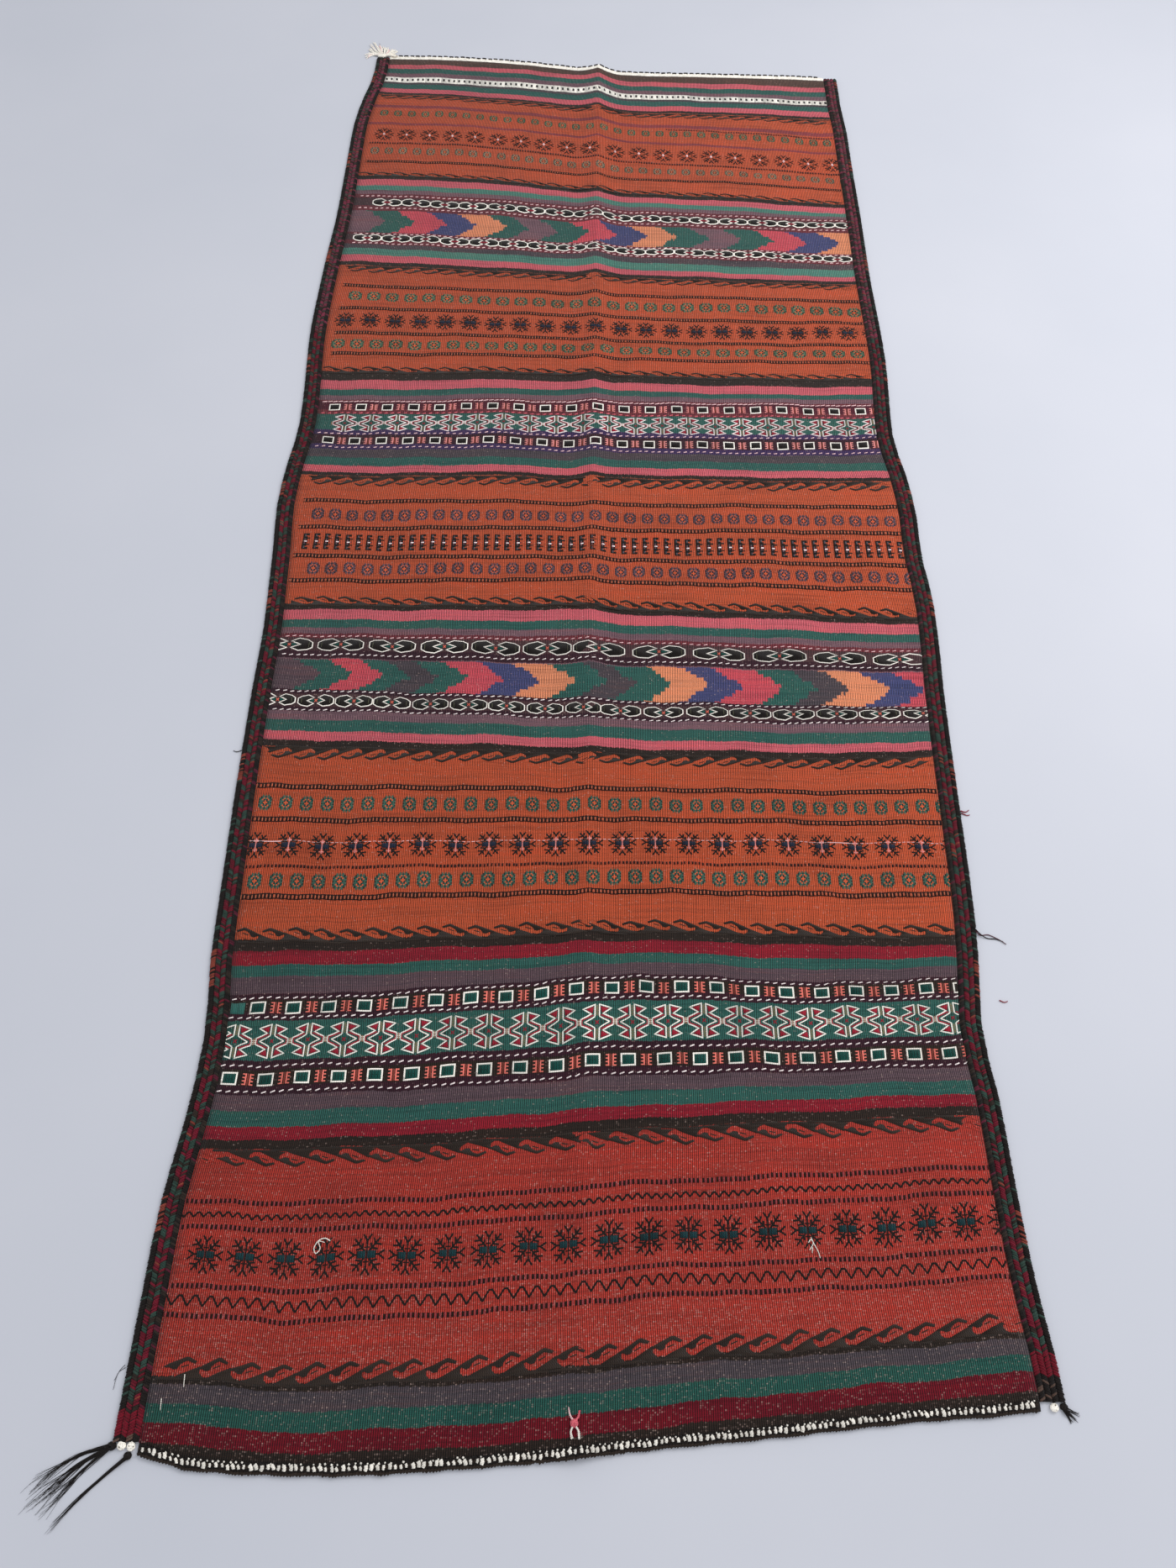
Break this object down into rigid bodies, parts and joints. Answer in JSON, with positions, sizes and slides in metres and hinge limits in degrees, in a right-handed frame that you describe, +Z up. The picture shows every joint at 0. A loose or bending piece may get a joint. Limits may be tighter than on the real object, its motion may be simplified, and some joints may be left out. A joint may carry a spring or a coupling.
{
  "type": "kilim runner",
  "caption": "Long flat-woven wool runner with brocaded bands, thick bound side edges, an ivory end band, a dark hem and loose hair locks, lying flat with a raised crease down its middle",
  "frame": {"origin": "under the middle of the whole piece, on the floor", "axes": "+X across the runner, +Y along it towards the ivory end band, +Z up"},
  "size_m": [1.2876, 3.2546, 0.0173],
  "materials": {
    "field_wool": "matt handspun wool, flat-woven and brocaded in many colours",
    "binding_wool": "dark goat hair wrapped over cords, with red and green wool",
    "ivory_yarn": "matt undyed ivory yarn",
    "hem_wool": "dark twined wool with ivory warp loops",
    "goat_hair": "straight dark goat hair with a slight gloss",
    "pink_yarn": "plied pink and ivory wool yarn"
  },
  "bodies": {
    "root": {"kilim_field": "field_wool", "left_binding": "binding_wool", "right_binding": "binding_wool", "ivory_end_band": "ivory_yarn", "brown_end_hem": "hem_wool", "corner_fringe": "ivory_yarn", "left_hair_tassel": "goat_hair", "left_hair_tassel_lower": "goat_hair", "right_hair_tassel": "goat_hair", "yarn_tie": "pink_yarn", "corner_knot_1": "ivory_yarn", "corner_knot_2": "ivory_yarn", "corner_knot_3": "ivory_yarn"}
  },
  "joints": []
}
